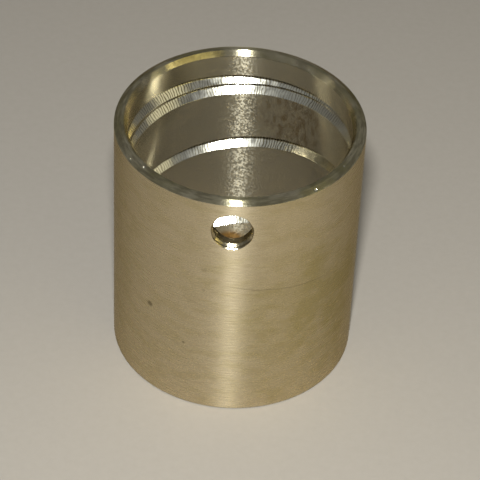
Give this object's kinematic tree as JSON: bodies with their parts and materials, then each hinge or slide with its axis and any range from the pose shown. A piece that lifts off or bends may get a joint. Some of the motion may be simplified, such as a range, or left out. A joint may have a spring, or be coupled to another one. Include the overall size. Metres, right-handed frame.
{
  "type": "sleeve bushing",
  "caption": "Thin-walled bronze sleeve bushing with a countersunk oil hole, a ring oil groove and a spiral oil groove in its bore.",
  "frame": {"origin": "centre of the lower end face, on the bore axis", "axes": "+Z along the bore axis towards the end with the oil hole; the oil hole looks along -Y"},
  "size_m": [0.06, 0.06, 0.067],
  "materials": {
    "bronze": "satin turned bronze, with fine turning lines round the axis"
  },
  "bodies": {
    "root": {"bushing_sleeve": "bronze"}
  },
  "joints": []
}
